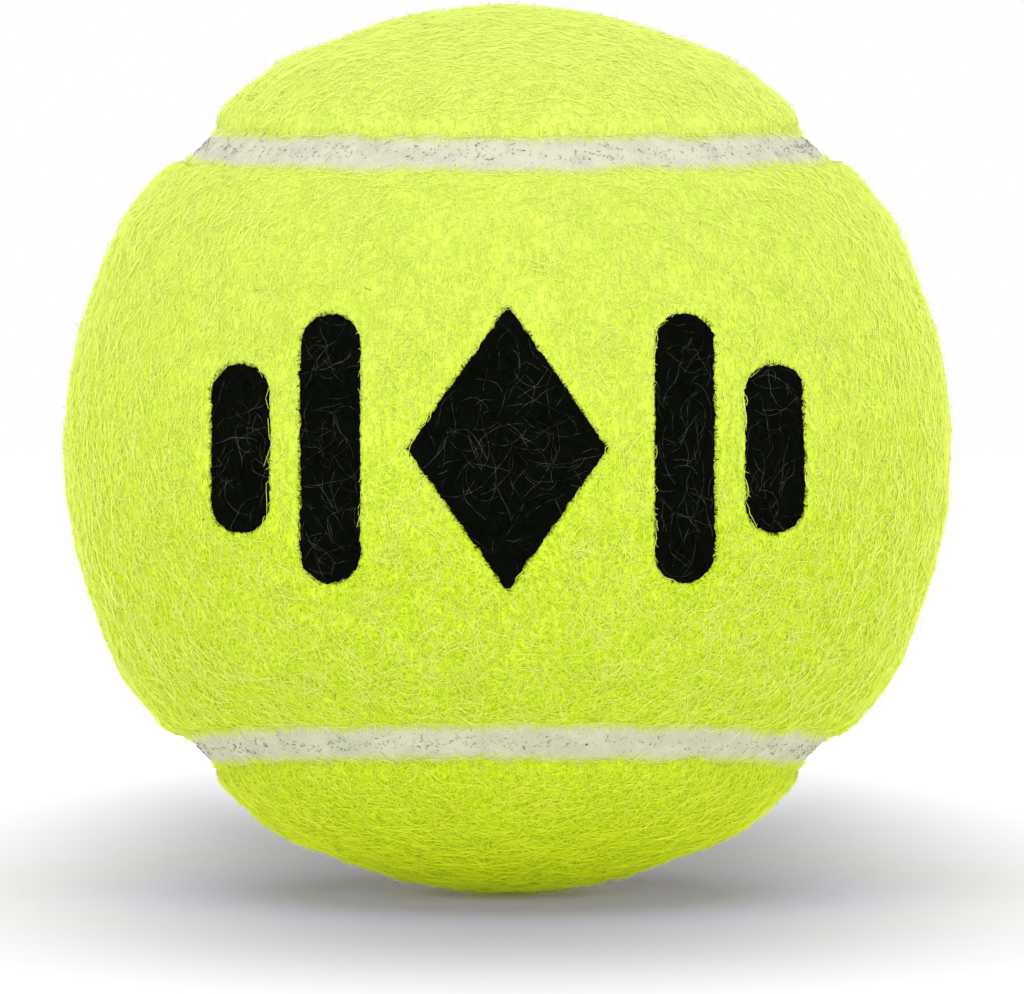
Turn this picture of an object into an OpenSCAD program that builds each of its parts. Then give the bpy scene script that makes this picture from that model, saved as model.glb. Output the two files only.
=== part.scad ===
// Tennis ball with its real layers: a two-piece hollow rubber core, two interlocking felt panels
// glued over it, the rubber seam between the panels, and a mark printed into the front panel.
//
// The centre of the ball is the origin and +Z is up. The front panel is narrowest where it faces
// -Y, and its wide ends wrap round +X and -X. The rear panel is the same shape, narrowest at +Y,
// with its wide ends at +Z and -Z. Lengths are in millimetres and angles in degrees.

/* [Ball] */
// Outer diameter over the felt
ball_d = 66.7; // [65.4:0.1:68.6]
// Thickness of the felt panels
felt_t = 3.2; // [2.8:0.1:3.6]
// Thickness of the adhesive under each felt panel
adhesive_t = 0.2; // [0.15:0.05:0.3]

/* [Core] */
// Wall of the rubber core
core_wall = 3.6; // [3:0.1:4]
// Thickness of the cement between the two core halves
core_cement_t = 0.2; // [0.1:0.05:0.4]

/* [Seam] */
// Width of the rubber seam at its surface
seam_w = 3.5; // [2.5:0.1:4.5]
// Depth of the seam below the felt
seam_depth = 1.2; // [0.8:0.1:1.5]
// Half of the angle across the narrowest part of a felt panel
waist_half_angle = 40; // [36:1:44]
// Radius of the rounded felt edge beside the seam
shoulder_r = 2.2; // [1.6:0.1:2.4]

/* [Mark] */
// Depth that the ink soaks into the felt
mark_depth = 0.4; // [0.2:0.1:0.8]
// Width across the diamond
diamond_w = 14; // [10:0.5:15]
// Height of the diamond
diamond_h = 20; // [14:0.5:22]
// Width of each bar
bar_w = 4.2; // [3:0.1:4.6]
// Height of the two bars next to the diamond
inner_bar_h = 19; // [14:0.5:22]
// Height of the two outer bars
outer_bar_h = 12; // [8:0.5:18]

/* [Hidden] */
$fn = 96;

ball_r = ball_d / 2;
felt_r = ball_r - felt_t;
core_r = felt_r - adhesive_t;
hollow_r = core_r - core_wall;
seam_r = ball_r - seam_depth;

// A block reaching this far from the centre passes right through the ball.
reach = 1.5 * ball_r;

// The seam is one closed line of four circular arcs that meet smoothly at four corners, each of
// them halfway between +X or -X and +Z or -Z. Each arc runs round an axis that leans away from the
// vertical, or from the left and right, by arc_lean, and keeps arc_angle from that axis.
waist_polar = 90 - waist_half_angle;
arc_lean = atan((cos(45) - cos(waist_polar)) / sin(waist_polar));
arc_angle = waist_polar - arc_lean;

// Half of the turn that one arc makes about its axis, from the middle of a waist to a corner.
arc_half_turn = acos(-sin(arc_lean) * cos(45) / sin(arc_angle));

// How far the circle of a rounded felt edge would stand out of the ball. It keeps the rounding
// from touching the ball at a tangent.
shoulder_proud = 0.12;

// Angle by which each arc of the groove runs on past its corners, into the next arc.
arc_overlap = 1;

// Angle by which the cones that cut one panel away from the other overlap, inside the groove.
cone_overlap = 1;

// Middles of the bars, out from the middle of the mark.
inner_bar_x = 12.5;
outer_bar_x = 19;

// ---- Shared shapes ----

// Hollow ball between two radii.
module shell(outer_r, inner_r) {
    difference() {
        sphere(r = outer_r);
        sphere(r = inner_r);
    }
}

// ---- Seam line ----

// Puts a shape made about the Z axis onto the axes of the upper and lower front arcs. The shape's
// own +X side ends up facing the front of the ball.
module on_front_arcs() {
    for (lower = [0, 1])
        mirror([0, 0, lower])
            rotate([arc_lean, 0, 0])
                rotate([0, 0, -90])
                    children();
}

// Turns the front of the ball into the rear. The seam line fits itself again after this turn.
module front_to_rear() {
    mirror([0, 1, 0])
        rotate([0, 90, 0])
            children();
}

// Cross-section of the groove between two felt edges, with the middle of the groove along +Y.
// It is a straight slot that opens out over the two rounded felt edges.
module groove_section() {
    half_w = seam_w / 2;
    circle_x = half_w + shoulder_r;
    circle_y = sqrt(pow(ball_r + shoulder_proud - shoulder_r, 2) - pow(circle_x, 2));
    translate([-half_w, hollow_r])
        square([seam_w, ball_r - hollow_r]);
    difference() {
        polygon([
            [-circle_x, circle_y],
            [circle_x, circle_y],
            [circle_x, reach],
            [-circle_x, reach]
        ]);
        for (side = [-1, 1])
            translate([side * circle_x, circle_y])
                circle(r = shoulder_r);
    }
}

// One arc of the groove, turned about the Z axis, with its middle at +X.
module groove_arc() {
    half_turn = arc_half_turn + arc_overlap;
    rotate([0, 0, -half_turn])
        rotate_extrude(angle = 2 * half_turn)
            rotate(-arc_angle)
                groove_section();
}

// Hollow ball with the whole seam groove cut through its wall. That leaves two loose panels.
module grooved_shell(outer_r, inner_r) {
    difference() {
        difference() {
            shell(outer_r, inner_r);
            on_front_arcs()
                groove_arc();
        }
        front_to_rear()
            on_front_arcs()
                groove_arc();
    }
}

// Cone round the Z axis that reaches from inside the hollow of the core out past the felt.
module arc_cone(half_angle) {
    inside = hollow_r / 2;
    translate([0, 0, inside * cos(half_angle)])
        cylinder(
            h = (reach - inside) * cos(half_angle),
            r1 = inside * sin(half_angle),
            r2 = reach * sin(half_angle)
        );
}

// The front one of the two panels. What is cut away here has its edges in the open groove.
module front_panel(outer_r, inner_r) {
    difference() {
        difference() {
            grooved_shell(outer_r, inner_r);
            on_front_arcs()
                arc_cone(arc_angle + cone_overlap);
        }
        difference() {
            translate([-reach, 0, -reach])
                cube([2 * reach, reach, 2 * reach]);
            front_to_rear()
                on_front_arcs()
                    arc_cone(arc_angle);
        }
    }
}

module rear_panel(outer_r, inner_r) {
    front_to_rear()
        front_panel(outer_r, inner_r);
}

// ---- Printed mark ----

// Outline of the mark, seen from the front: a diamond between two pairs of round-ended bars.
module mark_outline() {
    polygon([
        [-diamond_w / 2, 0],
        [0, -diamond_h / 2],
        [diamond_w / 2, 0],
        [0, diamond_h / 2]
    ]);
    for (side = [-1, 1]) {
        translate([side * inner_bar_x, 0])
            bar_outline(inner_bar_h);
        translate([side * outer_bar_x, 0])
            bar_outline(outer_bar_h);
    }
}

module bar_outline(bar_h) {
    straight_h = bar_h - bar_w;
    square([bar_w, straight_h], center = true);
    for (side = [-1, 1])
        translate([0, side * straight_h / 2])
            circle(d = bar_w);
}

// The inked patches: the outline carried straight into the front of the ball, as deep as the ink.
module mark_patches() {
    intersection() {
        shell(ball_r, ball_r - mark_depth);
        rotate([90, 0, 0])
            linear_extrude(height = reach)
                mark_outline();
    }
}

// ---- Parts ----

module core_half() {
    intersection() {
        shell(core_r, hollow_r);
        translate([-reach, -reach, core_cement_t / 2])
            cube([2 * reach, 2 * reach, reach]);
    }
}

module core_half_upper() {
    color("dimgray")
        core_half();
}

module core_half_lower() {
    color("dimgray")
        mirror([0, 0, 1])
            core_half();
}

module core_joint_cement() {
    color("sandybrown")
        intersection() {
            shell(core_r, hollow_r);
            translate([0, 0, -core_cement_t / 2])
                cylinder(h = core_cement_t, r = reach);
        }
}

module front_panel_adhesive() {
    color("wheat")
        front_panel(felt_r, core_r);
}

module rear_panel_adhesive() {
    color("wheat")
        rear_panel(felt_r, core_r);
}

module front_felt_panel() {
    color("greenyellow")
        difference() {
            front_panel(ball_r, felt_r);
            mark_patches();
        }
}

module rear_felt_panel() {
    color("greenyellow")
        rear_panel(ball_r, felt_r);
}

module seam_cement() {
    color("gainsboro")
        difference() {
            shell(seam_r, core_r);
            grooved_shell(ball_r, core_r - core_wall / 2);
        }
}

module printed_mark() {
    color("black")
        mark_patches();
}

core_half_upper();
core_half_lower();
core_joint_cement();
front_panel_adhesive();
rear_panel_adhesive();
front_felt_panel();
rear_felt_panel();
seam_cement();
printed_mark();
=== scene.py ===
"""A tennis ball: two felt panels over a hollow rubber core, with a rubber seam and a printed mark.

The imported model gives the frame. The core and the adhesive keep their own solids. The felt, the
seam and the mark are soft, so their solids are replaced by meshes made here: a lumpy felt mat for
each panel, a moulded seam strip, inked patches, and fibres on all of them.

Shapes are worked out in millimetres, with the centre of the ball at the origin, and turned into
metres when a mesh is made.
"""

import math

import bmesh
import bpy
import numpy as np
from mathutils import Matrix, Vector


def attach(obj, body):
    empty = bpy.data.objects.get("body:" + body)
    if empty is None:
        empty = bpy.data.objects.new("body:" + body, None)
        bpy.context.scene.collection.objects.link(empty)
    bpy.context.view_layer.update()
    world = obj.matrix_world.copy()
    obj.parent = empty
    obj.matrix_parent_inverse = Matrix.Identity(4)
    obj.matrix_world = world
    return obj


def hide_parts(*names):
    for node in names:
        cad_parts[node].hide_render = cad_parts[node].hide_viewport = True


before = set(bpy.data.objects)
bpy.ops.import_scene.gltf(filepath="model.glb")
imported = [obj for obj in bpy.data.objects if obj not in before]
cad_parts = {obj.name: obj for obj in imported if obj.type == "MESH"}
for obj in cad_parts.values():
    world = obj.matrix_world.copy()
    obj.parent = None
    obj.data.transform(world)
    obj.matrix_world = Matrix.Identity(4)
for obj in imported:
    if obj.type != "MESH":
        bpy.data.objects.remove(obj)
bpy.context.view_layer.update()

MM = 0.001
FULL_TURN = 2 * math.pi
WHITE = (1, 1, 1, 1)

# ---- Sizes, the same as in the CAD model ----

BALL_R = 33.35
FELT_T = 3.2
ADHESIVE_T = 0.2
FELT_R = BALL_R - FELT_T
CORE_R = FELT_R - ADHESIVE_T
SEAM_W = 3.5
SEAM_DEPTH = 1.2
SEAM_R = BALL_R - SEAM_DEPTH
WAIST_HALF_ANGLE = math.radians(40)

DIAMOND_W = 14.0
DIAMOND_H = 20.0
BAR_W = 4.2
# The middle and the height of each bar. There is one on either side of the diamond.
BARS = ((12.5, 19.0), (19.0, 12.0))

# ---- The seam line: four arcs of circles on the ball ----

WAIST_POLAR = math.pi / 2 - WAIST_HALF_ANGLE
ARC_LEAN = math.atan((math.cos(math.pi / 4) - math.cos(WAIST_POLAR)) / math.sin(WAIST_POLAR))
ARC_ANGLE = WAIST_POLAR - ARC_LEAN
LEAN_SIN, LEAN_COS = math.sin(ARC_LEAN), math.cos(ARC_LEAN)
FRONT_AXES = np.array([(0, -LEAN_SIN, LEAN_COS), (0, -LEAN_SIN, -LEAN_COS)])
REAR_AXES = np.array([(LEAN_COS, LEAN_SIN, 0), (-LEAN_COS, LEAN_SIN, 0)])

# ---- The felt ----

# The mat that the fibres lie on is a little inside the CAD surface, so that they end near it.
MAT_SINK = 0.38
MAT_R = BALL_R - MAT_SINK
# A panel's rounded edge: how far in it starts, and how far it falls.
SHOULDER_W = 2.0
SHOULDER_DROP = 1.2
# Share of the lumps and tufts that is left at the very edge.
EDGE_RELIEF = 0.35
# The low ridge where the felt is puffed up beside its edge, measured in from the edge.
PUFF_HEIGHT = 0.38
PUFF_MIDDLE = 6.5
PUFF_WIDTH = 3.2
# The pockets in the front panel that hold the inked patches.
POCKET_DEPTH = 0.45
POCKET_SOFTNESS = 0.15

# How often an icosahedron is subdivided for the outside and for the hidden underside of the felt.
FINE_LEVEL = 7
COARSE_LEVEL = 5


def unit(vectors):
    return vectors / np.linalg.norm(vectors, axis=-1, keepdims=True)


def smooth_step(low, high, value):
    t = np.clip((value - low) / (high - low), 0, 1)
    return t * t * (3 - 2 * t)


# ---- Random fields ----

# Each field is a sum of this many waves, which differ from its wavelength by these factors.
WAVES = 40
WAVE_PACES = (0.7, 1.4)


class Field:
    """A smooth random field over points in millimetres, with a mean of 0. height is its spread."""

    def __init__(self, seed, wavelength, height):
        rng = np.random.default_rng(seed)
        pace = FULL_TURN / wavelength * rng.uniform(*WAVE_PACES, (WAVES, 1))
        self.waves = unit(rng.normal(size=(WAVES, 3))) * pace
        self.phases = rng.uniform(0, FULL_TURN, WAVES)
        self.height = height

    def at(self, points):
        total = np.zeros(len(points))
        for wave, phase in zip(self.waves, self.phases):
            total += np.cos(points @ wave + phase)
        return self.height * (total * math.sqrt(2 / WAVES))


EDGE_SWAY = Field(seed=11, wavelength=6.5, height=0.09)
EDGE_RIPPLE = Field(seed=12, wavelength=1.5, height=0.045)
LUMPS = Field(seed=13, wavelength=6.0, height=0.035)
CLUMPS = Field(seed=14, wavelength=2.4, height=0.035)
TUFTS = Field(seed=15, wavelength=1.0, height=0.03)
INK_EDGE = Field(seed=17, wavelength=1.3, height=0.03)
INK_FRAY = Field(seed=18, wavelength=0.45, height=0.035)
DIRT_CLUMPS = Field(seed=19, wavelength=3.0, height=0.25)
SEAM_PITS = Field(seed=21, wavelength=0.8, height=1.0)
SEAM_BUMPS = Field(seed=22, wavelength=2.6, height=0.03)
SEAM_GRAIN = Field(seed=23, wavelength=0.35, height=0.018)


# ---- Where things are on the ball ----

# The two panels, as the sign of seam_offset on each.
FRONT, REAR = 1, -1


def seam_offset(dirs):
    """Distance from the seam line along the ball, positive on the front panel's side."""
    front = np.arccos(np.clip((dirs @ FRONT_AXES.T).max(1), -1, 1)) - ARC_ANGLE
    rear = ARC_ANGLE - np.arccos(np.clip((dirs @ REAR_AXES.T).max(1), -1, 1))
    return np.where(dirs[:, 1] < 0, front, rear) * BALL_R


def edge_distance(dirs, side):
    """Distance in from the wavy edge of a panel. side is FRONT or REAR."""
    points = dirs * BALL_R
    wave = EDGE_SWAY.at(points) + EDGE_RIPPLE.at(points)
    return side * seam_offset(dirs) - SEAM_W / 2 + wave


def mark_distance(dirs):
    """Distance out from the outline of the mark, negative inside it, in the mark's own plane.
    Behind the ball's middle there is no mark, so everything there is far from it."""
    x, z = dirs[:, 0] * BALL_R, dirs[:, 2] * BALL_R
    half_w, half_h = DIAMOND_W / 2, DIAMOND_H / 2
    slope = math.hypot(half_w, half_h)
    distance = (np.abs(x) * half_h + np.abs(z) * half_w - half_w * half_h) / slope
    for middle, height in BARS:
        past_end = np.maximum(np.abs(z) - (height - BAR_W) / 2, 0)
        distance = np.minimum(distance, np.hypot(np.abs(x) - middle, past_end) - BAR_W / 2)
    return np.where(dirs[:, 1] < 0, distance, BALL_R)


def nap_relief(dirs):
    """Height of the lumps and tufts of the felt above its mean surface."""
    points = dirs * BALL_R
    return LUMPS.at(points) + CLUMPS.at(points) + TUFTS.at(points)


def mat_radius(dirs, side, pocket=True):
    """Distance of the felt's surface from the centre of the ball. A panel's edge is rounded, and
    the felt is puffed up a little way in from it. pocket sinks it under the mark."""
    depth = edge_distance(dirs, side)
    rise = np.clip(depth / SHOULDER_W, 0, 1)
    drop = SHOULDER_DROP * (1 - np.sqrt(1 - (1 - rise) ** 2))
    puff = PUFF_HEIGHT * np.exp(-(((depth - PUFF_MIDDLE) / PUFF_WIDTH) ** 2))
    relief = nap_relief(dirs) * (EDGE_RELIEF + (1 - EDGE_RELIEF) * rise)
    radius = MAT_R - drop + puff + relief
    if pocket:
        inked = smooth_step(POCKET_SOFTNESS, -POCKET_SOFTNESS, mark_distance(dirs))
        radius = radius - POCKET_DEPTH * inked
    return radius


# ---- Meshes ----

# Corners of an icosahedron share an edge if they are this many times the least gap apart, or less.
NEAR_ENOUGH = 1.01


def icosahedron():
    golden = (1 + math.sqrt(5)) / 2
    corners = []
    for a in (-1, 1):
        for b in (-golden, golden):
            corners += [(0, a, b), (a, b, 0), (b, 0, a)]
    dirs = unit(np.array(corners, float))
    gaps = np.linalg.norm(dirs[:, None] - dirs[None], axis=2)
    near = (gaps > 0) & (gaps < gaps[gaps > 0].min() * NEAR_ENOUGH)
    faces = []
    for i in range(len(dirs)):
        for j in range(i + 1, len(dirs)):
            for k in range(j + 1, len(dirs)):
                if near[i, j] and near[j, k] and near[i, k]:
                    outward = np.linalg.det(dirs[[i, j, k]]) > 0
                    faces.append((i, j, k) if outward else (i, k, j))
    return dirs, np.array(faces)


def edge_midpoints(faces, first_new):
    """For each face, the index of the point in the middle of each side, and the sides' ends."""
    sides = np.stack([faces, np.roll(faces, -1, axis=1)], axis=2).reshape(-1, 2)
    ends, index = np.unique(np.sort(sides, axis=1), axis=0, return_inverse=True)
    return index.reshape(-1, 3) + first_new, ends


def subdivide(dirs, faces):
    middle, ends = edge_midpoints(faces, len(dirs))
    dirs = np.vstack([dirs, unit(dirs[ends].sum(1))])
    a, b, c = faces.T
    ab, bc, ca = middle.T
    parts = [(a, ab, ca), (ab, b, bc), (ca, bc, c), (ab, bc, ca)]
    return dirs, np.vstack([np.stack(part, axis=1) for part in parts])


def drop_unused(dirs, faces):
    used, index = np.unique(faces, return_inverse=True)
    return dirs[used], index.reshape(-1, 3)


# A cut keeps this share of an edge away from its ends, so that no face comes out as a sliver.
LEAST_SHARE = 0.04


def cut_where(dirs, faces, value):
    """The part of a surface where value is above 0, cut cleanly along the line where it is 0."""
    inside = value > 0
    count = inside[faces].sum(1)
    crossed = faces[(count == 1) | (count == 2)]
    odd_is_inside = inside[crossed].sum(1) == 1
    odd = np.argmax(inside[crossed] == odd_is_inside[:, None], axis=1)
    turn = (odd[:, None] + np.arange(3)) % 3
    crossed = np.take_along_axis(crossed, turn, axis=1)
    middle, ends = edge_midpoints(crossed, len(dirs))
    start, end = value[ends[:, 0]], value[ends[:, 1]]
    share = np.where(start == end, 0.5, start / np.where(start == end, 1, start - end))
    share = np.clip(share, LEAST_SHARE, 1 - LEAST_SHARE)[:, None]
    new_dirs = unit(dirs[ends[:, 0]] * (1 - share) + dirs[ends[:, 1]] * share)
    a, b, c = crossed.T
    ab, _, ca = middle.T
    one = odd_is_inside
    two = ~odd_is_inside
    kept = [
        faces[count == 3],
        np.stack([a, ab, ca], axis=1)[one],
        np.stack([ab, b, c], axis=1)[two],
        np.stack([ab, c, ca], axis=1)[two],
    ]
    return drop_unused(np.vstack([dirs, new_dirs]), np.vstack(kept))


def rim_loops(faces):
    """The open edges of a surface, as lists of points in order."""
    sides = np.stack([faces, np.roll(faces, -1, axis=1)], axis=2).reshape(-1, 2)
    code = sides[:, 0] * (faces.max() + 1) + sides[:, 1]
    back = sides[:, 1] * (faces.max() + 1) + sides[:, 0]
    rim = sides[~np.isin(code, back)]
    following = dict(rim.tolist())
    loops = []
    while following:
        start, here = following.popitem()
        loop = [start]
        while here != start:
            loop.append(here)
            here = following.pop(here)
        loops.append(loop)
    return loops


def zip_loops(points, top, bottom):
    """Faces of the wall between two rims that run the same way round."""
    near = np.linalg.norm(points[bottom] - points[top[0]], axis=1).argmin()
    bottom = bottom[near:] + bottom[:near]
    top = [*top, top[0]]
    bottom = [*bottom, bottom[0]]
    faces = []
    i = j = 0
    while i < len(top) - 1 or j < len(bottom) - 1:
        along_top = i < len(top) - 1
        if along_top and j < len(bottom) - 1:
            over = np.linalg.norm(points[top[i + 1]] - points[bottom[j]])
            under = np.linalg.norm(points[top[i]] - points[bottom[j + 1]])
            along_top = over < under
        if along_top:
            faces.append((top[i + 1], top[i], bottom[j]))
            i += 1
        else:
            faces.append((bottom[j], bottom[j + 1], top[i]))
            j += 1
    return np.array(faces)


def make_object(name, points, faces, values=None):
    """A smooth object from points in millimetres. values are numbers for its points, by name."""
    mesh = bpy.data.meshes.new(name)
    sides = faces.shape[1]
    mesh.vertices.add(len(points))
    mesh.vertices.foreach_set("co", (points * MM).ravel())
    mesh.loops.add(faces.size)
    mesh.loops.foreach_set("vertex_index", faces.ravel())
    mesh.polygons.add(len(faces))
    mesh.polygons.foreach_set("loop_start", np.arange(len(faces)) * sides)
    mesh.polygons.foreach_set("use_smooth", np.ones(len(faces), bool))
    for key, numbers in (values or {}).items():
        layer = mesh.attributes.new(key, "FLOAT", "POINT")
        layer.data.foreach_set("value", numbers.astype(np.float32))
    mesh.update(calc_edges=True)
    obj = bpy.data.objects.new(name, mesh)
    bpy.context.scene.collection.objects.link(obj)
    return obj


def close_surface(dirs, faces, top_radius, under_dirs, under_faces, under_radius):
    """A closed solid from an outer surface and an inner one, with walls along their rims."""
    points = np.vstack([dirs * top_radius[:, None], under_dirs * under_radius])
    shifted = under_faces + len(dirs)
    walls = []
    under_loops = rim_loops(shifted)
    for loop in rim_loops(faces):
        middle = points[loop].mean(0)
        gaps = [np.linalg.norm(points[other].mean(0) - middle) for other in under_loops]
        walls.append(zip_loops(points, loop, under_loops[int(np.argmin(gaps))]))
    return points, np.vstack([faces, shifted[:, ::-1], *walls])


sphere = icosahedron()
spheres = [sphere]
for _ in range(FINE_LEVEL):
    sphere = subdivide(*sphere)
    spheres.append(sphere)


def felt_panel(name, side):
    """A closed felt panel, fine on the outside and coarse on the hidden underside."""
    dirs, faces = cut_where(*spheres[FINE_LEVEL], edge_distance(spheres[FINE_LEVEL][0], side))
    coarse_dirs, coarse_faces = spheres[COARSE_LEVEL]
    under = cut_where(coarse_dirs, coarse_faces, edge_distance(coarse_dirs, side))
    points, faces = close_surface(dirs, faces, mat_radius(dirs, side), *under, FELT_R)
    return make_object(name, points, faces)


front_felt = felt_panel("front_felt", FRONT)
rear_felt = felt_panel("rear_felt", REAR)

# ---- The printed mark ----

# The ink presses the nap down a little, and soaks this far into it.
INK_SINK = 0.1
INK_T = 0.4
# Only faces this near to the mark are subdivided once more for it.
NEAR_MARK = 1


def ink_value(dirs):
    """Above 0 where the felt is inked. The outline frays a little."""
    points = dirs * BALL_R
    return INK_EDGE.at(points) + INK_FRAY.at(points) - mark_distance(dirs)


def printed_patches(name):
    """Closed patches of inked felt, one for each shape of the mark."""
    dirs, faces = spheres[FINE_LEVEL]
    near = (mark_distance(dirs) < NEAR_MARK)[faces].any(1)
    dirs, faces = subdivide(*drop_unused(dirs, faces[near]))
    dirs, faces = cut_where(dirs, faces, ink_value(dirs))
    top = mat_radius(dirs, FRONT, pocket=False) - INK_SINK
    points = np.vstack([dirs * top[:, None], dirs * (top - INK_T)[:, None]])
    walls = []
    for loop in rim_loops(faces):
        here = np.array(loop)
        after = np.roll(here, -1)
        walls.append(np.stack([after, here, here + len(dirs)], axis=1))
        walls.append(np.stack([after, here + len(dirs), after + len(dirs)], axis=1))
    return make_object(name, points, np.vstack([faces, (faces + len(dirs))[:, ::-1], *walls]))


printed_mark = printed_patches("printed_patches")

# ---- The seam ----

# Points along each of the four arcs.
SEAM_STEPS = 480
# Each side of the strip runs this far on under the felt.
SEAM_SKIRT = 0.5
# Points across the top and across the underside of the strip.
SEAM_TOP_POINTS = 19
SEAM_UNDER_POINTS = 5
# How much lower the middle of the strip is than its sides.
SEAM_HOLLOW = 0.1
# Pits are where the pit field is this high or higher.
PIT_FROM, PIT_TO = 1.1, 2.2
PIT_DEPTH = 0.06
# Coloured by felt fuzz, and by painted light bounced from the felt, from this far outside a panel's
# edge to this far inside it.
FUZZ_AND_BOUNCE_FROM, FUZZ_AND_BOUNCE_TO = -1.2, 0.1


def seam_line():
    """Points along the middle of the seam, in order all the way round, as directions. Each arc
    starts at the corner where the one before it ends."""
    reach = math.acos(-LEAN_SIN * math.cos(math.pi / 4) / math.sin(ARC_ANGLE))
    turns = np.linspace(-reach, reach, SEAM_STEPS, endpoint=False)
    arcs = []
    for axis, forward, way_round in (
        (FRONT_AXES[0], (0, -LEAN_COS, -LEAN_SIN), 1),
        (REAR_AXES[0], (-LEAN_SIN, LEAN_COS, 0), -1),
        (FRONT_AXES[1], (0, -LEAN_COS, LEAN_SIN), 1),
        (REAR_AXES[1], (LEAN_SIN, LEAN_COS, 0), -1),
    ):
        forward = np.array(forward)
        sideways = np.cross(axis, forward) * way_round
        around = np.cos(turns)[:, None] * forward + np.sin(turns)[:, None] * sideways
        arcs.append(math.cos(ARC_ANGLE) * axis + math.sin(ARC_ANGLE) * around)
    return np.vstack(arcs)


def seam_strip(name):
    """A closed strip swept along the seam line, with its sides under the felt. felt_fuzz_and_bounce
    is 1 where felt fuzz and painted light bounced from the felt colour it, and 0 in the clean
    middle."""
    line = seam_line()
    ahead = unit(np.roll(line, -1, axis=0) - np.roll(line, 1, axis=0))
    across = np.cross(line, ahead)
    half = SEAM_W / 2 + SEAM_SKIRT
    steps = np.linspace(-half, half, SEAM_TOP_POINTS)
    top = SEAM_R + SEAM_HOLLOW * (steps / half) ** 2
    outline = [(u, r, 1.0) for u, r in zip(steps, top)]
    outline += [(u, CORE_R, 0.0) for u in np.linspace(half, -half, SEAM_UNDER_POINTS)]
    rings = []
    fuzz_and_bounce_rows = []
    for u, radius, rough in outline:
        spot = unit(line * radius + across * u)
        points = spot * BALL_R
        relief = SEAM_BUMPS.at(points) + SEAM_GRAIN.at(points)
        relief -= PIT_DEPTH * smooth_step(PIT_FROM, PIT_TO, SEAM_PITS.at(points))
        rings.append(spot * (radius + rough * relief)[:, None])
        nearest = np.maximum(edge_distance(spot, FRONT), edge_distance(spot, REAR))
        fuzz_and_bounce_rows.append(smooth_step(FUZZ_AND_BOUNCE_FROM, FUZZ_AND_BOUNCE_TO, nearest))
    points = np.stack(rings, axis=1)
    values = {"felt_fuzz_and_bounce": np.stack(fuzz_and_bounce_rows, axis=1).ravel()}
    count, width = points.shape[:2]
    i, j = np.meshgrid(np.arange(count), np.arange(width), indexing="ij")
    next_i, next_j = (i + 1) % count, (j + 1) % width
    corners = [i * width + j, next_i * width + j, next_i * width + next_j, i * width + next_j]
    faces = np.stack([c.ravel() for c in corners], axis=1)
    return make_object(name, points.reshape(-1, 3), faces, values)


seam = seam_strip("seam_strip")

# ---- Fibres ----

# Each fibre is a tube with this many sides.
SIDES = 3
# Its thickness along its length follows this part of a sine wave's first half, over a least share.
LEAST_THICKNESS = 0.45
TAPER_FROM, TAPER_TO = 0.15, 0.85
# The points that close its ends stand off by this many times its thickness.
END_REACH = 2
# Share of the straight outward direction in the way it is shaded.
OUTWARD = 0.6
# How far apart two points on a ball of radius 1 are when the slope between them is measured.
SLOPE_STEP = 0.001
# A direction that is only used for finding others that lie along the ball.
ASLANT = (0.31, 0.52, 0.79)
# Points drawn over the whole ball for each one wanted, by where they are wanted.
PANEL_TRIES = 3
EDGE_TRIES = 90
MARK_TRIES = 30
OUTLINE_TRIES = 300
HAIR_TRIES = 80


def tube_faces(rings):
    """Faces of one closed tube of some rings, with a point at each end."""
    tail, tip = rings * SIDES, rings * SIDES + 1
    faces = []
    for side in range(SIDES):
        after = (side + 1) % SIDES
        for ring in range(rings - 1):
            a, b = ring * SIDES + side, ring * SIDES + after
            faces += [(a, b, b + SIDES), (a, b + SIDES, a + SIDES)]
        last = (rings - 1) * SIDES
        faces += [(side, tail, after), (last + side, last + after, tip)]
    return np.array(faces)


def downhill(dirs, measure):
    """Direction over the ball in which a measure falls fastest, at each point."""
    across = unit(np.cross(dirs, ASLANT))
    along = np.cross(dirs, across)
    here = measure(dirs)
    slope = 0
    for way in (across, along):
        slope = slope - way * (measure(unit(dirs + way * SLOPE_STEP)) - here)[:, None]
    return unit(slope)


def walk(rng, roots, length, rings, curl, wander, lean=0.0):
    """Paths over the ball from each root, in a random heading that curls and wanders as it goes.
    lean is a direction for each root that the headings keep to."""
    count = len(roots)
    heading = unit(unit(np.cross(roots, rng.normal(size=(count, 3)))) + lean)
    bend = rng.normal(0, curl, count)
    step = length / (rings - 1)
    here = roots
    path = [here]
    for _ in range(rings - 1):
        turn = (bend * step + rng.normal(0, wander, count))[:, None]
        heading = np.cos(turn) * heading + np.sin(turn) * np.cross(here, heading)
        here = unit(here + heading * (step / BALL_R)[:, None])
        heading = unit(heading - here * (heading * here).sum(1, keepdims=True))
        path.append(here)
    return np.stack(path, axis=1)


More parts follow.
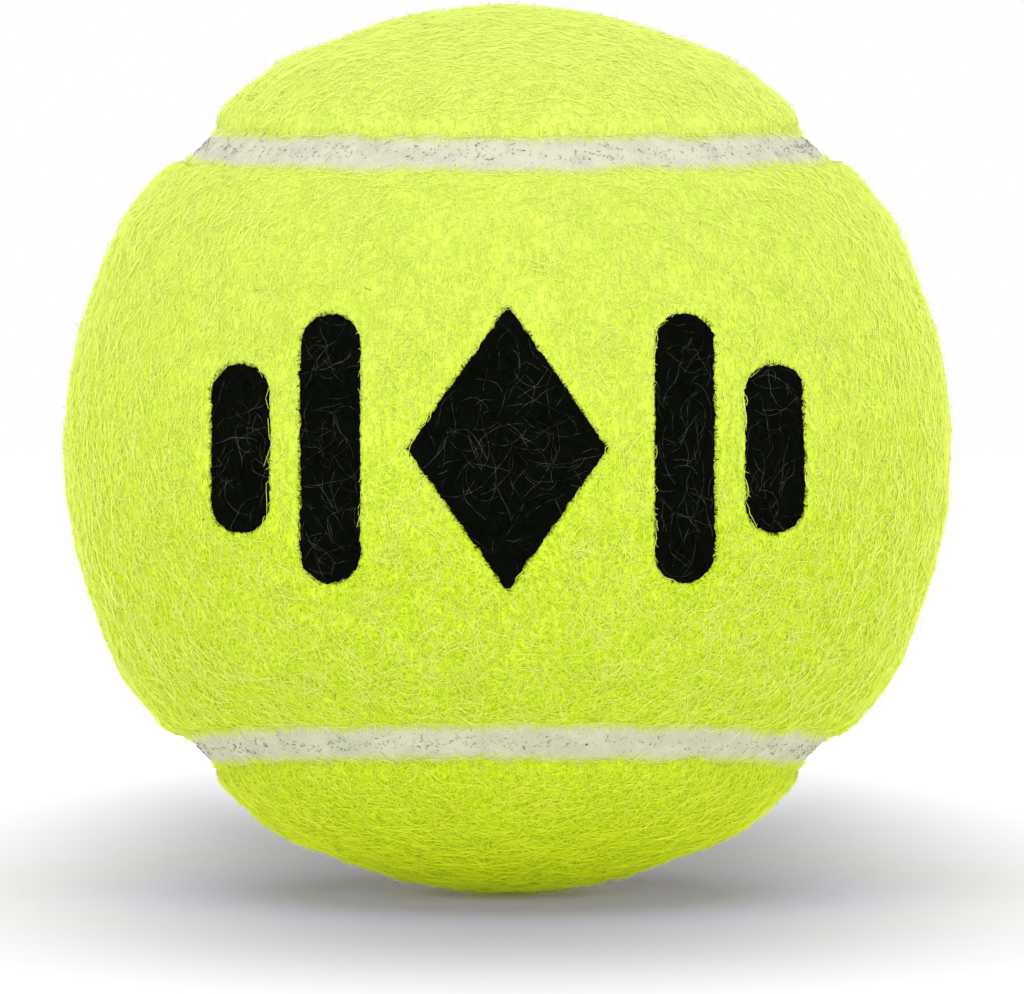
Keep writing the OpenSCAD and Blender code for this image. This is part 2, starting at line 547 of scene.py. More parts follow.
def strands(name, path, height, thickness):
    """Tubes along the paths. height is each ring's distance from the centre of the ball."""
    count, rings = path.shape[:2]
    middle = path * height[:, :, None]
    along = unit(np.gradient(middle, axis=1))
    sideways = unit(np.cross(path, along))
    upwards = np.cross(along, sideways)
    t = np.linspace(0, 1, rings)
    wave = np.sin(math.pi * (TAPER_FROM + (TAPER_TO - TAPER_FROM) * t))
    taper = LEAST_THICKNESS + (1 - LEAST_THICKNESS) * wave
    radius = (thickness[:, None] * taper)[:, :, None]
    corners = []
    for side in range(SIDES):
        angle = FULL_TURN * side / SIDES + math.pi / 2
        corners.append(middle + radius * (math.cos(angle) * sideways + math.sin(angle) * upwards))
    tubes = np.stack(corners, axis=2).reshape(count, rings * SIDES, 3)
    reach = END_REACH * thickness[:, None]
    tail = middle[:, 0] - along[:, 0] * reach
    tip = middle[:, -1] + along[:, -1] * reach
    points = np.concatenate([tubes, tail[:, None], tip[:, None]], axis=1)
    pattern = tube_faces(rings)
    starts = np.arange(count) * (rings * SIDES + 2)
    faces = (pattern[None] + starts[:, None, None]).reshape(-1, 3)
    points = points.reshape(-1, 3)
    obj = make_object(name, points, faces)
    # A fine fibre lets light through, so it is shaded much as the felt beneath it is.
    mesh = obj.data
    own = np.empty(len(points) * 3)
    mesh.vertex_normals.foreach_get("vector", own)
    blend = unit(own.reshape(-1, 3) * (1 - OUTWARD) + unit(points) * OUTWARD)
    mesh.normals_split_custom_set_from_vertices(blend)
    return obj


def scatter(rng, count, tries, choose):
    """Up to count random points that choose picks, out of tries times as many over the ball."""
    spots = unit(rng.normal(size=(count * tries, 3)))
    return spots[choose(spots)][:count]


def on_paths(path, measure):
    """A measure at every point of some paths."""
    return measure(path.reshape(-1, 3)).reshape(path.shape[:2])


# Fibres of a panel are rooted this far inside its edge or further, and lie at least this far above
# the seam.
ROOT_INSET = 0.05
NAP_OVER_SEAM = 0.06
NAP_WANDER = 0.22
# A fibre counts as being on the mark when it comes this far inside the outline.
ON_MARK = -0.1


def felt_strands(
    name, seed, side, count, rings, length, thickness, curl, lift, over_ink, layer, overhang
):
    """Fibres over a felt panel. lift is how far they arch and rise, as (arch, free end).
    over_ink is the share of the fibres on the mark that stay there. layer is how high they lie,
    and overhang how far they may hang over the seam."""
    rng = np.random.default_rng(seed)
    roots = scatter(rng, count, PANEL_TRIES, lambda d: edge_distance(d, side) > ROOT_INSET)
    size = rng.uniform(*length, len(roots))
    path = walk(rng, roots, size, rings, curl, NAP_WANDER)
    clear = on_paths(path, lambda d: edge_distance(d, side)).min(1) > -overhang
    if side == FRONT:
        on_ink = on_paths(path, mark_distance).min(1) < ON_MARK
        clear &= ~on_ink | (rng.random(len(path)) < over_ink)
    path = path[clear]
    ground = on_paths(path, lambda d: mat_radius(d, side, pocket=False))
    ground = np.maximum(ground, SEAM_R + NAP_OVER_SEAM)
    t = np.linspace(0, 1, rings)
    arch = np.abs(rng.normal(0, lift[0], len(path)))[:, None] * np.sin(math.pi * t)
    free = np.abs(rng.normal(0, lift[1], len(path)))[:, None] * t**2
    base = rng.uniform(*layer, len(path))[:, None]
    thick = rng.uniform(*thickness, len(path))
    return strands(name, path, ground + base + arch + free, thick)


def nap(prefix, seed, side, pieces, **kind):
    """Some pieces of the same kind of fibres, named with a letter each."""
    return [
        felt_strands(f"{prefix}_{letter}", seed + i, side, **kind)
        for i, letter in enumerate("abcdefgh"[:pieces])
    ]


FRINGE_COUNT = 5500
FRINGE_DEPTH = 0.6
FRINGE_LENGTH = (0.3, 1.25)
FRINGE_THICKNESS = (0.010, 0.020)
# How strongly the fringe heads out over the seam.
FRINGE_AWAY = 0.9
FRINGE_OVER_SEAM = 0.05
# How high the fringe may lie, and how much further its free ends may rise.
FRINGE_LAYER = 0.1
FRINGE_LIFT = 0.25


def fringe(name, seed, side):
    """Short fibres along the edge of a panel, that hang over the seam."""

    def at_edge(dirs):
        depth = edge_distance(dirs, side)
        return (depth > 0) & (depth < FRINGE_DEPTH)

    rng = np.random.default_rng(seed)
    roots = scatter(rng, FRINGE_COUNT, EDGE_TRIES, at_edge)
    size = rng.uniform(*FRINGE_LENGTH, len(roots))
    away = FRINGE_AWAY * downhill(roots, lambda d: edge_distance(d, side))
    path = walk(rng, roots, size, rings=4, curl=1.1, wander=0.25, lean=away)
    ground = on_paths(path, lambda d: mat_radius(d, side))
    ground = np.maximum(ground, SEAM_R + FRINGE_OVER_SEAM)
    base = rng.uniform(0, FRINGE_LAYER, len(path))[:, None]
    lift = rng.uniform(0, FRINGE_LIFT, len(path))[:, None]
    free = lift * np.linspace(0, 1, path.shape[1]) ** 2
    return strands(name, path, ground + base + free, rng.uniform(*FRINGE_THICKNESS, len(path)))


MAT_NAP = dict(
    count=5500, rings=6, length=(1.4, 3.8), thickness=(0.013, 0.027), curl=0.7,
    lift=(0.06, 0.04), over_ink=0.0, layer=(-0.03, 0.09), overhang=0.3,
)
FUZZ_NAP = dict(
    count=7600, rings=4, length=(0.6, 1.9), thickness=(0.009, 0.018), curl=0.7,
    lift=(0.06, 0.26), over_ink=0.0, layer=(-0.02, 0.06), overhang=0.45,
)
LONG_NAP = dict(
    count=1500, rings=12, length=(2.5, 6.5), thickness=(0.015, 0.025), curl=0.5,
    lift=(0.13, 0.12), over_ink=0.0, layer=(0.05, 0.12), overhang=0.4,
)

front_nap = nap("front_nap", seed=100, side=FRONT, pieces=5, **MAT_NAP)
rear_nap = nap("rear_nap", seed=200, side=REAR, pieces=5, **MAT_NAP)
front_fuzz = nap("front_fuzz", seed=300, side=FRONT, pieces=2, **FUZZ_NAP)
rear_fuzz = nap("rear_fuzz", seed=400, side=REAR, pieces=2, **FUZZ_NAP)
front_long = nap("front_long", seed=500, side=FRONT, pieces=1, **LONG_NAP)
rear_long = nap("rear_long", seed=600, side=REAR, pieces=1, **LONG_NAP)
front_fringe = fringe("front_fringe", seed=650, side=FRONT)
rear_fringe = fringe("rear_fringe", seed=660, side=REAR)

# Fibres of the mark are rooted this far inside its outline, and lie this high.
INKED_ROOT = -0.05
INK_LAYER = (-0.02, 0.03)


def mark_strands(name, seed, count, rings, length, thickness, curl, lift, past):
    """Fibres that start on the mark. past is how far past the outline they may reach."""
    rng = np.random.default_rng(seed)
    roots = scatter(rng, count, MARK_TRIES, lambda d: mark_distance(d) < INKED_ROOT)
    path = walk(rng, roots, rng.uniform(*length, len(roots)), rings, curl, wander=0.2)
    path = path[on_paths(path, mark_distance).max(1) < past]
    ground = on_paths(path, lambda d: mat_radius(d, FRONT, pocket=False)) - INK_SINK
    t = np.linspace(0, 1, rings)
    arch = np.abs(rng.normal(0, lift, len(path)))[:, None] * np.sin(math.pi * t)
    height = ground + arch + rng.uniform(*INK_LAYER, len(path))[:, None]
    return strands(name, path, height, rng.uniform(*thickness, len(path)))


# The inked fringe is rooted about this line inside the outline, and this far to either side of it.
RAGGED_LINE = -0.12
RAGGED_HALF_W = 0.1
RAGGED_LENGTH = (0.12, 0.42)
RAGGED_THICKNESS = (0.016, 0.03)
RAGGED_LAYER = (-0.02, 0.07)
# How strongly it heads out of the mark.
RAGGED_OUT = 1.6


def printed_fringe(name, seed, count):
    """Short inked fibres across the outline of the mark, which make it ragged."""

    def at_outline(dirs):
        return np.abs(mark_distance(dirs) - RAGGED_LINE) < RAGGED_HALF_W

    rng = np.random.default_rng(seed)
    roots = scatter(rng, count, OUTLINE_TRIES, at_outline)
    out = RAGGED_OUT * downhill(roots, lambda d: -mark_distance(d))
    size = rng.uniform(*RAGGED_LENGTH, len(roots))
    path = walk(rng, roots, size, rings=3, curl=0.9, wander=0.2, lean=out)
    ground = on_paths(path, lambda d: mat_radius(d, FRONT, pocket=False))
    height = ground + rng.uniform(*RAGGED_LAYER, len(path))[:, None]
    return strands(name, path, height, rng.uniform(*RAGGED_THICKNESS, len(path)))


ink_nap = mark_strands(
    "printed_nap", seed=700, count=6500, rings=4, length=(0.4, 1.3), thickness=(0.02, 0.034),
    curl=0.8, lift=0.05, past=0.1,
)
ink_fringe = printed_fringe("printed_fringe", seed=705, count=1600)
stray_nap = mark_strands(
    "stray_nap", seed=710, count=520, rings=9, length=(0.8, 4.5), thickness=(0.010, 0.017),
    curl=0.4, lift=0.12, past=0.5,
)

# Hairs and specks lie up to this high above what they are on.
HAIR_LAYER = 0.04
SEAM_HAIR_GAP = 0.02
FELT_HAIR_GAP = 0.08
# Hairs on the seam keep this near to its middle, and those on the felt this far from its edges.
SEAM_HAIR_REACH = 1.2
FELT_HAIR_INSET = 0.5
# Dirt gathers along this line beside the seam's middle, and about this near to it.
DIRT_LINE = -0.12
DIRT_HALF_W = 0.62


def hairs(name, seed, count, rings, choose, radius, length, thickness, lean=None):
    """Loose dark hairs or specks on a surface. lean gives each one a direction to keep to."""
    rng = np.random.default_rng(seed)
    roots = scatter(rng, count, HAIR_TRIES, choose)
    size = rng.uniform(*length, len(roots))
    keep_to = lean(roots) if lean else 0.0
    path = walk(rng, roots, size, rings, curl=0.9, wander=0.3, lean=keep_to)
    height = on_paths(path, radius) + rng.uniform(0.0, HAIR_LAYER, len(path))[:, None]
    return strands(name, path, height, rng.uniform(*thickness, len(path)))


def seam_top(dirs):
    return np.full(len(dirs), SEAM_R + SEAM_HAIR_GAP)


def felt_top(dirs):
    return mat_radius(dirs, FRONT) + FELT_HAIR_GAP


def along_seam(dirs):
    return np.cross(dirs, downhill(dirs, seam_offset))


def on_seam(dirs):
    return np.abs(seam_offset(dirs)) < SEAM_HAIR_REACH


def on_clear_felt(dirs):
    """On the front panel, away from its edge and from the mark."""
    inset = np.minimum(edge_distance(dirs, FRONT), mark_distance(dirs))
    return inset > FELT_HAIR_INSET


def speckled(dirs):
    """Where dirt has gathered, in clumps along the middle of the seam."""
    off_line = np.abs(seam_offset(dirs) - DIRT_LINE)
    return off_line + DIRT_CLUMPS.at(dirs * BALL_R) < DIRT_HALF_W


seam_specks = hairs(
    "seam_specks", seed=790, count=2200, rings=3, choose=speckled, radius=seam_top,
    length=(0.02, 0.26), thickness=(0.012, 0.026), lean=along_seam,
)
seam_hairs = hairs(
    "seam_hairs", seed=800, count=200, rings=6, choose=on_seam, radius=seam_top,
    length=(0.15, 0.8), thickness=(0.009, 0.016),
)
felt_specks = hairs(
    "felt_specks", seed=810, count=90, rings=5, choose=on_clear_felt, radius=felt_top,
    length=(0.1, 0.7), thickness=(0.01, 0.02),
)

# ---- Materials ----

# Painted light by height: heights between which the felt goes from painted shade, deep in colour, to
# plain, and from plain to a pale painted sheen, as if lit from above.
PAINTED_SHADE_FROM, PAINTED_SHADE_TO = -31.0, -16.0
PAINTED_SHADE_TINT = (1.0, 1.0, 0.02, 1)
PAINTED_SHEEN_FROM, PAINTED_SHEEN_TO = -8.0, 30.0
PAINTED_SHEEN_SHARE = 0.75
PAINTED_SHEEN_YELLOW = (0.85, 1.0, 0.20, 1)

SHEEN_ROUGHNESS = 0.5
# Sockets of a mix node that mixes colours. Their names are those of its other sockets too.
MIX_SHARE, MIX_FIRST, MIX_SECOND, MIX_RESULT = 0, 6, 7, 2


class Maker:
    """Builds a material's nodes in a few short calls."""

    def __init__(self, name):
        self.material = bpy.data.materials.new(name)
        self.material.use_nodes = True
        self.nodes = self.material.node_tree.nodes
        self.links = self.material.node_tree.links
        self.nodes.clear()
        self.shader = self.nodes.new("ShaderNodeBsdfPrincipled")
        output = self.nodes.new("ShaderNodeOutputMaterial")
        self.links.new(self.shader.outputs["BSDF"], output.inputs["Surface"])
        place = self.nodes.new("ShaderNodeTexCoord")
        self.place = self.times(place.outputs["Object"], (1 / MM, 1 / MM, 1 / MM))

    def put(self, socket, value):
        if isinstance(value, bpy.types.NodeSocket):
            self.links.new(value, socket)
        else:
            socket.default_value = value

    def length(self, vector):
        node = self.nodes.new("ShaderNodeVectorMath")
        node.operation = "LENGTH"
        self.put(node.inputs[0], vector)
        return node.outputs["Value"]

    def math(self, operation, first, second=0.0, third=0.0):
        node = self.nodes.new("ShaderNodeMath")
        node.operation = operation
        for socket, value in zip(node.inputs, (first, second, third)):
            self.put(socket, value)
        return node.outputs[0]

    def noise(self, scale, detail, distortion=0.0, vector=None):
        node = self.nodes.new("ShaderNodeTexNoise")
        self.put(node.inputs["Vector"], vector or self.place)
        node.inputs["Scale"].default_value = scale
        node.inputs["Detail"].default_value = detail
        node.inputs["Distortion"].default_value = distortion
        return node.outputs["Fac"]

    def stretch(self, turn, squash, shift):
        """The place on the ball turned, moved and squashed, so that a pattern runs one way."""
        node = self.nodes.new("ShaderNodeMapping")
        self.put(node.inputs["Vector"], self.place)
        node.inputs["Location"].default_value = shift
        node.inputs["Rotation"].default_value = turn
        node.inputs["Scale"].default_value = squash
        return node.outputs["Vector"]

    def ramp(self, value, low, high, low_out=0.0, high_out=1.0, smooth=True):
        node = self.nodes.new("ShaderNodeMapRange")
        node.interpolation_type = "SMOOTHSTEP" if smooth else "LINEAR"
        for key, number in zip(
            ("Value", "From Min", "From Max", "To Min", "To Max"),
            (value, low, high, low_out, high_out),
        ):
            self.put(node.inputs[key], number)
        return node.outputs["Result"]

    def line(self, noise, width):
        """1 along the thin curve where a noise passes its middle value, falling to 0 beside it."""
        off = self.math("ABSOLUTE", self.math("SUBTRACT", noise, 0.5))
        return self.ramp(off, 0.0, width, 1.0, 0.0)

    def mix(self, share, first, second):
        node = self.nodes.new("ShaderNodeMix")
        node.data_type = "RGBA"
        self.put(node.inputs[MIX_SHARE], share)
        self.put(node.inputs[MIX_FIRST], first)
        self.put(node.inputs[MIX_SECOND], second)
        return node.outputs[MIX_RESULT]

    def times(self, first, second):
        node = self.nodes.new("ShaderNodeVectorMath")
        node.operation = "MULTIPLY"
        self.put(node.inputs[0], first)
        self.put(node.inputs[1], second)
        return node.outputs["Vector"]

    def along(self, axis):
        """How far along an axis the place is, in millimetres."""
        split = self.nodes.new("ShaderNodeSeparateXYZ")
        self.put(split.inputs["Vector"], self.place)
        return split.outputs[axis]

    def painted_height_light(self, colour):
        """Painted light: the felt is paler towards the top of the ball, a painted sheen of light
        from above, and deeper in colour towards the bottom, a painted shade.
        """
        height = self.along("Z")
        lift = self.ramp(height, PAINTED_SHADE_FROM, PAINTED_SHADE_TO, smooth=False)
        tint = self.mix(lift, PAINTED_SHADE_TINT, WHITE)
        pale = self.ramp(height, PAINTED_SHEEN_FROM, PAINTED_SHEEN_TO, 0.0, PAINTED_SHEEN_SHARE, smooth=False)
        return self.mix(pale, self.times(colour, tint), PAINTED_SHEEN_YELLOW)

    def attribute(self, name):
        node = self.nodes.new("ShaderNodeAttribute")
        node.attribute_name = name
        return node.outputs["Fac"]

    def bump(self, height, distance):
        node = self.nodes.new("ShaderNodeBump")
        node.inputs["Distance"].default_value = distance * MM
        node.inputs["Strength"].default_value = 1.0
        self.put(node.inputs["Height"], height)
        self.links.new(node.outputs["Normal"], self.shader.inputs["Normal"])

    def finish(self, colour, roughness, specular, sheen=0.0):
        self.put(self.shader.inputs["Base Color"], colour)
        self.put(self.shader.inputs["Roughness"], roughness)
        self.shader.inputs["Specular IOR Level"].default_value = specular
        self.shader.inputs["Sheen Weight"].default_value = sheen
        self.shader.inputs["Sheen Roughness"].default_value = SHEEN_ROUGHNESS
        self.shader.inputs["Sheen Tint"].default_value = WHITE
        return self.material


# Where a noise goes from one end of its usual range to the other.
GRAIN_RANGE = (0.3, 0.7)
CLOUD_RANGE = (0.35, 0.65)
# The pattern of each layer of drawn lines is squashed by this in one direction, which makes the
# lines longer, and moved by up to this many millimetres.
LINE_SQUASH = 0.35
LINE_SHIFT = 50
# How strongly the drawn lines show in the felt's colour and in its relief.
LINE_COVER = 0.6
FINE_RELIEF = 0.6
COARSE_RELIEF = 0.5
# Colours of fibres vary partly over the ball and partly along each fibre.
BROAD_SHARE = 0.4
CLOSE_SHARE = 0.6
# How ragged the felt fuzz and the painted light bounced from the felt are on the seam.
FUZZ_AND_BOUNCE_RAGGED = 0.9
PIT_RELIEF = -0.8


def fibre_lines(maker, layers, scale, width, seed):
    """Several layers of thin curved lines in all directions, as fibres lie in felt."""
    rng = np.random.default_rng(seed)
    total = None
    for _ in range(layers):
        turn = rng.uniform(0, FULL_TURN, 3)
        shift = rng.uniform(-LINE_SHIFT, LINE_SHIFT, 3)
        vector = maker.stretch(turn, (1.0, 1.0, LINE_SQUASH), shift)
        noise = maker.noise(scale, detail=1.0, distortion=0.4, vector=vector)
        layer = maker.line(noise, width)
        total = layer if total is None else maker.math("MAXIMUM", total, layer)
    return total


def felt_material(name, gap, body, pale, sheen, with_painted_light=True):
    """A mat of fibres: pale fibres over darker ones, with painted shade in the low gaps between
    them.
    """
    maker = Maker(name)
    fine = fibre_lines(maker, layers=4, scale=2.0, width=0.035, seed=31)
    coarse = fibre_lines(maker, layers=3, scale=1.1, width=0.02, seed=32)
    grain = maker.noise(scale=3.2, detail=3.0, distortion=0.6)
    # Painted shade: the mat is darkest where its grain is low, which is also where its bump is low.
    colour = maker.mix(maker.ramp(grain, low=0.4, high=0.62), gap, body)
    colour = maker.mix(maker.math("MULTIPLY", fine, LINE_COVER), colour, pale)
    colour = maker.mix(maker.math("MULTIPLY", coarse, LINE_COVER), colour, pale)
    height = maker.math("MULTIPLY_ADD", fine, FINE_RELIEF, grain)
    height = maker.math("MULTIPLY_ADD", coarse, COARSE_RELIEF, height)
    maker.bump(height, distance=0.06)
    roughness = maker.ramp(grain, *GRAIN_RANGE, low_out=0.8, high_out=1.0)
    # Painted light: a pale painted sheen towards the top of the ball, and painted shade towards the
    # bottom.
    colour = maker.painted_height_light(colour) if with_painted_light else colour
    return maker.finish(colour, roughness, specular=0.05, sheen=sheen)


def strand_material(name, dark, light, sheen=0.08, specular=0.08, with_painted_light=True):
    """Fibres that differ from each other and along their length."""
    maker = Maker(name)
    broad = maker.math("MULTIPLY", maker.noise(scale=0.5, detail=3.0), BROAD_SHARE)
    close = maker.noise(scale=2.4, detail=2.0)
    shade = maker.math("MULTIPLY_ADD", close, CLOSE_SHARE, broad)
    colour = maker.mix(maker.ramp(shade, low=0.38, high=0.62), dark, light)
    roughness = maker.ramp(close, *GRAIN_RANGE, low_out=0.6, high_out=0.9)
    # Painted light: a pale painted sheen towards the top of the ball, and painted shade towards the
    # bottom.
    colour = maker.painted_height_light(colour) if with_painted_light else colour
    return maker.finish(colour, roughness, specular, sheen)


def rubber_material(name, dark, light, scale, roughness):
    """Cloudy rubber, cement or glue. roughness is its least and its greatest."""
    maker = Maker(name)
    cloud = maker.noise(scale, detail=5.0)
    grain = maker.noise(scale=6.0, detail=3.0)
    colour = maker.mix(maker.ramp(cloud, *CLOUD_RANGE), dark, light)
    maker.bump(grain, distance=0.04)
    return maker.finish(colour, maker.ramp(grain, *GRAIN_RANGE, *roughness), specular=0.4)


def seam_material():
    """Pale rubber with dirt in its pits, coloured along both sides by felt fuzz and by painted light
    bounced from the felt.
    """
    maker = Maker("seam_rubber")
    cloud = maker.noise(scale=0.5, detail=5.0)
    specks = maker.noise(scale=5.0, detail=2.0)
    grain = maker.noise(scale=7.0, detail=3.0)
    ragged = maker.noise(scale=2.0, detail=4.0)
    beside = maker.attribute("felt_fuzz_and_bounce")
    # Felt fuzz and painted light bounced from the felt, ragged, along both sides.
    fuzz_and_bounce = maker.math("MULTIPLY_ADD", ragged, FUZZ_AND_BOUNCE_RAGGED, beside)
    fuzz_and_bounce = maker.ramp(fuzz_and_bounce, low=0.55, high=1.35, high_out=0.8)
    dirt = maker.ramp(specks, low=0.64, high=0.72, high_out=0.55)
    colour = maker.mix(maker.ramp(cloud, *CLOUD_RANGE), SEAM_GREY, SEAM_WHITE)
    colour = maker.mix(fuzz_and_bounce, colour, SEAM_YELLOW)
    colour = maker.mix(dirt, colour, SEAM_DIRT)
    maker.bump(maker.math("MULTIPLY_ADD", specks, PIT_RELIEF, grain), distance=0.06)
    roughness = maker.ramp(grain, *GRAIN_RANGE, low_out=0.6, high_out=0.85)
    return maker.finish(colour, roughness, specular=0.3)


# The mat's painted shade in its gaps, its body and its pale fibres.
FELT_GAP_SHADE = (0.38, 0.56, 0.0, 1)
FELT_BODY = (0.60, 0.81, 0.01, 1)
FELT_PALE = (0.80, 0.97, 0.07, 1)
# The dark and the light colour of each layer of the mat's fibres.
NAP_SHADES = (
    ((0.78, 0.97, 0.05, 1), (0.88, 1.0, 0.16, 1)),
    ((0.81, 0.98, 0.08, 1), (0.91, 1.0, 0.22, 1)),
    ((0.68, 0.90, 0.02, 1), (0.83, 0.99, 0.10, 1)),
    ((0.85, 0.99, 0.11, 1), (0.95, 1.0, 0.28, 1)),
    ((0.74, 0.95, 0.03, 1), (0.87, 1.0, 0.13, 1)),
)
FUZZ_DARK = (0.80, 0.97, 0.06, 1)
FUZZ_LIGHT = (0.91, 1.0, 0.20, 1)
LONG_DARK = (0.86, 0.99, 0.12, 1)
LONG_LIGHT = (0.96, 1.0, 0.25, 1)
INK_BLACK = (0.0008, 0.0014, 0.0005, 1)
INK_SOFT = (0.003, 0.005, 0.002, 1)
STRAY_DARK = (0.012, 0.015, 0.010, 1)
STRAY_LIGHT = (0.085, 0.095, 0.07, 1)
SEAM_WHITE = (0.62, 0.62, 0.48, 1)
SEAM_GREY = (0.54, 0.54, 0.43, 1)
# The colour of felt fuzz and of painted light bounced from the felt on the sides of the seam.
SEAM_YELLOW = (0.62, 0.65, 0.27, 1)
SEAM_DIRT = (0.16, 0.16, 0.11, 1)
HAIR_DARK = (0.015, 0.015, 0.01, 1)
HAIR_LIGHT = (0.07, 0.07, 0.04, 1)

felt = felt_material("felt_mat", FELT_GAP_SHADE, FELT_BODY, FELT_PALE, sheen=0.05)
ink = felt_material("inked_felt", INK_BLACK, INK_BLACK, INK_SOFT, sheen=0.0, with_painted_light=False)
nap_fibres = [strand_material(f"nap_fibre_{i}", *shade) for i, shade in enumerate(NAP_SHADES)]
fuzz_fibre = strand_material("fuzz_fibre", FUZZ_DARK, FUZZ_LIGHT)
long_fibre = strand_material("long_fibre", LONG_DARK, LONG_LIGHT)
ink_fibre = strand_material(
    "ink_fibre", INK_BLACK, INK_SOFT, sheen=0.0, specular=0.03, with_painted_light=False
)
stray_fibre = strand_material("stray_fibre", STRAY_DARK, STRAY_LIGHT, sheen=0.0, with_painted_light=False)
dark_hair = strand_material("dark_hair", HAIR_DARK, HAIR_LIGHT, sheen=0.0, with_painted_light=False)
seam_rubber = seam_material()
core_rubber = rubber_material(
    "core_rubber", dark=(0.02, 0.02, 0.022, 1), light=(0.05, 0.05, 0.053, 1),
    scale=0.3, roughness=(0.6, 0.8),
)
joint_cement = rubber_material(
    "joint_cement", dark=(0.3, 0.22, 0.1, 1), light=(0.5, 0.38, 0.2, 1),
    scale=0.8, roughness=(0.4, 0.6),
)
panel_glue = rubber_material(
    "panel_glue", dark=(0.55, 0.45, 0.25, 1), light=(0.75, 0.66, 0.42, 1),
    scale=0.5, roughness=(0.5, 0.8),
)


def wear(obj, material):
    """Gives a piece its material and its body."""
    obj.data.materials.append(material)
    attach(obj, "root")


for piece in (front_felt, rear_felt):
    wear(piece, felt)
for pieces in (front_nap, rear_nap):
    for piece, material in zip(pieces, nap_fibres):
        wear(piece, material)
for piece in (*front_fuzz, *rear_fuzz, front_fringe, rear_fringe):
    wear(piece, fuzz_fibre)
for piece in (*front_long, *rear_long):
    wear(piece, long_fibre)
wear(printed_mark, ink)
wear(ink_nap, ink_fibre)
wear(ink_fringe, ink_fibre)
wear(stray_nap, stray_fibre)
wear(seam, seam_rubber)
wear(seam_specks, dark_hair)
wear(seam_hairs, dark_hair)
wear(felt_specks, dark_hair)

for node, material in (
    ("core_half_upper", core_rubber),
    ("core_half_lower", core_rubber),
    ("core_joint_cement", joint_cement),
    ("front_panel_adhesive", panel_glue),
    ("rear_panel_adhesive", panel_glue),
):
    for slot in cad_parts[node].material_slots:
        slot.material = material

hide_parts("front_felt_panel")
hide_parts("rear_felt_panel")
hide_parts("seam_cement")
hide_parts("printed_mark")

# ---- Floor, light and camera ----

# The floor is a disc, with its radius in metres.
FLOOR_R = 40.0
FLOOR_SEGMENTS = 96
FLOOR_COLOUR = (0.93, 0.93, 0.93, 1)

# The grey of a painted shadow of the ball lies in an oval whose middle is behind the ball.
SHADOW_REACH = 1.58 * BALL_R
SHADOW_BEHIND = 2 * BALL_R
SHADOW_SQUASH = 0.3
SHADOW_NEAR, SHADOW_FAR = 0.21, 0.9
# Behind the ball the painted shadow on the floor is never darker than this, from the near end of a
# stretch to the far one.
BEHIND_REACH = (1.3 * BALL_R, 4.2 * BALL_R)
BEHIND_LEVELS = (0.4, 0.74)
LEVEL_BLEND = 0.1

# Painted tints round the point of contact, round the foot of the ball, further away, and in front of
# it. The one at the contact is painted light that lifts the shadow there. Those round the foot and
# further away are painted light that takes out the colour of light bounced from the ball. The one in
# front is painted shade.
CONTACT_REACH = (0.05 * BALL_R, 0.5 * BALL_R)
CONTACT_TINT = (2.4, 2.3, 3.2, 1)
FOOT_REACH = (0.2 * BALL_R, 1.25 * BALL_R)
FOOT_TINT = (1.07, 0.92, 1.72, 1)
BESIDE_REACH = (1.2 * BALL_R, 2.1 * BALL_R)
BESIDE_TINT = (1.0, 0.982, 1.085, 1)
AWAY_TINT = (1.0, 0.997, 1.02, 1)
FRONT_AHEAD = 1.1 * BALL_R
FRONT_REACH = (0, 1.35 * BALL_R)
FRONT_TINT = (0.78, 0.77, 0.80, 1)

# The floor glows far away, so that it is as white as the background, and a little everywhere
# towards the ball.
GLOW_REACH = (2 * BALL_R, 9 * BALL_R)
GLOW_FAR = 0.3
GLOW_ON_BALL = 0.14

# The camera's distance and its near and far limits, in metres. Its shift is in widths of the view.
CAMERA_AWAY = 12 * BALL_R * MM
SENSOR_W = 36
LENS = 187.5
CAMERA_SHIFT = (0.0044, -0.0474)
CAMERA_LIMITS = (0.01, 100)


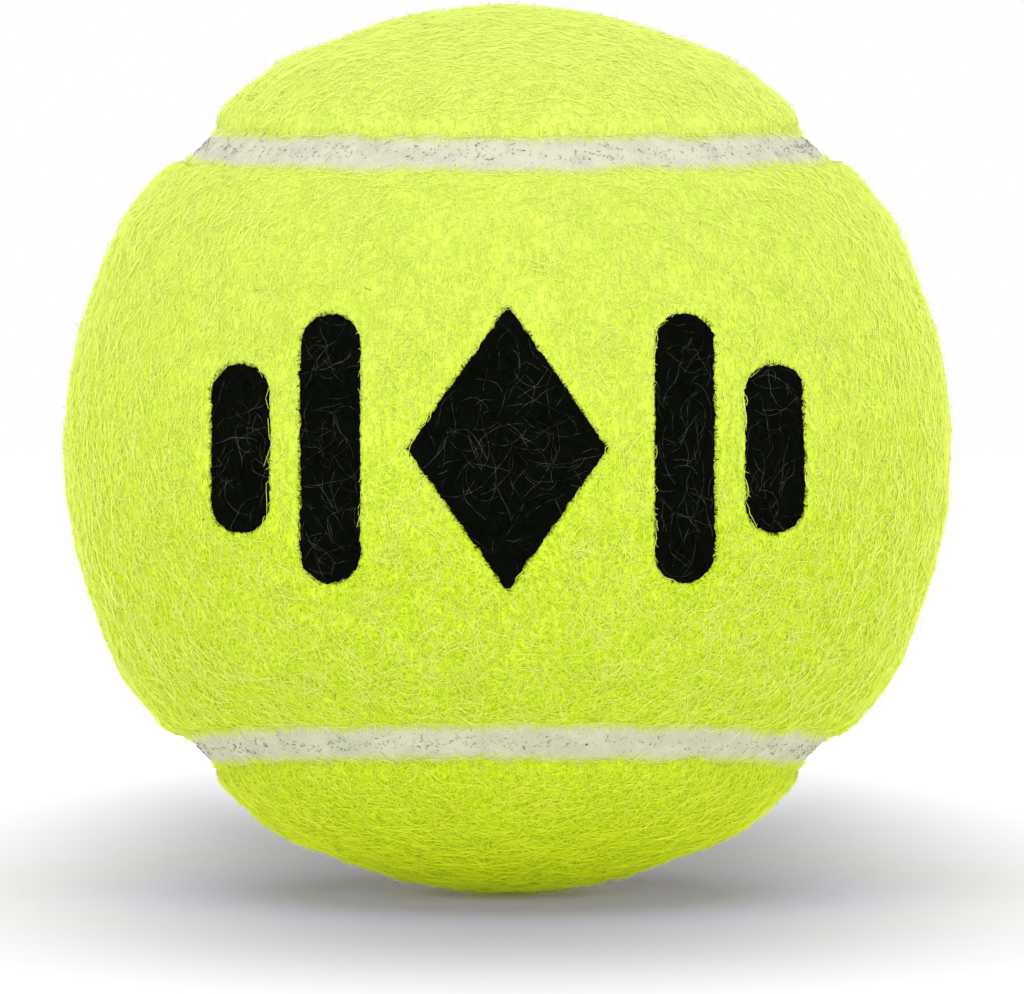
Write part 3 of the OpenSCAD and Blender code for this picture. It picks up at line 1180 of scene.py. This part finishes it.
def make_floor():
    """A wide white floor. The camera sees it greyer with a painted shadow and painted tints round
    the foot of the ball, behind it and in front of it, and white far away, so that it runs into the
    background."""
    mesh = bpy.data.meshes.new("floor")
    grid = bmesh.new()
    bmesh.ops.create_circle(grid, cap_ends=True, segments=FLOOR_SEGMENTS, radius=FLOOR_R)
    grid.to_mesh(mesh)
    grid.free()
    obj = bpy.data.objects.new("floor", mesh)
    obj.location = (0, 0, -BALL_R * MM)
    bpy.context.scene.collection.objects.link(obj)
    maker = Maker("floor_paper")
    away = maker.length(maker.place)
    oval = maker.stretch((0, 0, 0), (1, SHADOW_SQUASH, 1), (0, -SHADOW_SQUASH * SHADOW_BEHIND, 0))
    grey = maker.ramp(maker.length(oval), 0, SHADOW_REACH)
    grey = maker.ramp(grey, 0, 1, SHADOW_NEAR, SHADOW_FAR, smooth=False)
    least = maker.ramp(maker.along("Y"), *BEHIND_REACH, *BEHIND_LEVELS)
    seen = maker.math("SMOOTH_MAX", grey, least, LEVEL_BLEND)
    ahead = maker.length(maker.stretch((0, 0, 0), (1, 1, 1), (0, FRONT_AHEAD, 0)))
    beside = maker.mix(maker.ramp(away, *BESIDE_REACH), BESIDE_TINT, AWAY_TINT)
    for distance, reach, near, far in (
        (away, FOOT_REACH, FOOT_TINT, beside),
        (away, CONTACT_REACH, CONTACT_TINT, WHITE),
        (ahead, FRONT_REACH, FRONT_TINT, WHITE),
    ):
        seen = maker.times(seen, maker.mix(maker.ramp(distance, *reach), near, far))
    path = maker.nodes.new("ShaderNodeLightPath")
    # Only the camera sees the painted shadow and tints; other light meets the plain floor colour.
    colour = maker.mix(path.outputs["Is Camera Ray"], FLOOR_COLOUR, seen)
    glow = maker.ramp(away, *GLOW_REACH, 0.0, GLOW_FAR)
    bounce = maker.math("SUBTRACT", 1.0, path.outputs["Is Camera Ray"])
    glow = maker.math("MULTIPLY_ADD", bounce, GLOW_ON_BALL, glow)
    maker.put(maker.shader.inputs["Emission Color"], WHITE)
    maker.put(maker.shader.inputs["Emission Strength"], glow)
    mesh.materials.append(maker.finish(colour, roughness=0.9, specular=0.0))


def make_world(light, backdrop):
    """An even white sky. It looks white behind the ball, and gives softer light than that."""
    world = bpy.data.worlds.new("studio")
    bpy.context.scene.world = world
    world.use_nodes = True
    nodes, links = world.node_tree.nodes, world.node_tree.links
    sky = nodes["Background"]
    sky.inputs["Color"].default_value = WHITE
    path = nodes.new("ShaderNodeLightPath")
    level = nodes.new("ShaderNodeMapRange")
    links.new(path.outputs["Is Camera Ray"], level.inputs["Value"])
    level.inputs["To Min"].default_value = light
    level.inputs["To Max"].default_value = backdrop
    links.new(level.outputs["Result"], sky.inputs["Strength"])


def area_light(name, place, size, power):
    """A round lamp that faces the ball, with its place and its size in metres."""
    light = bpy.data.lights.new(name, "AREA")
    light.shape = "DISK"
    light.size = size
    light.energy = power
    obj = bpy.data.objects.new(name, light)
    bpy.context.scene.collection.objects.link(obj)
    obj.location = place
    obj.rotation_mode = "QUATERNION"
    obj.rotation_quaternion = (-Vector(place)).to_track_quat("-Z", "Y")


def make_camera():
    """Level with the middle of the ball, straight in front of it, with a long lens."""
    camera = bpy.data.cameras.new("camera")
    obj = bpy.data.objects.new("camera", camera)
    bpy.context.scene.collection.objects.link(obj)
    obj.location = (0, -CAMERA_AWAY, 0)
    obj.rotation_euler = (math.pi / 2, 0, 0)
    camera.sensor_width = SENSOR_W
    camera.lens = LENS
    camera.shift_x, camera.shift_y = CAMERA_SHIFT
    camera.clip_start, camera.clip_end = CAMERA_LIMITS
    bpy.context.scene.camera = obj


make_floor()
make_world(light=1.05, backdrop=1.0)
area_light("key", place=(-0.1, -0.5, 0.6), size=0.8, power=1.05)
area_light("front_fill", place=(0.1, -0.8, 0.0), size=0.7, power=1.8)
make_camera()
bpy.context.scene.view_settings.view_transform = "Standard"
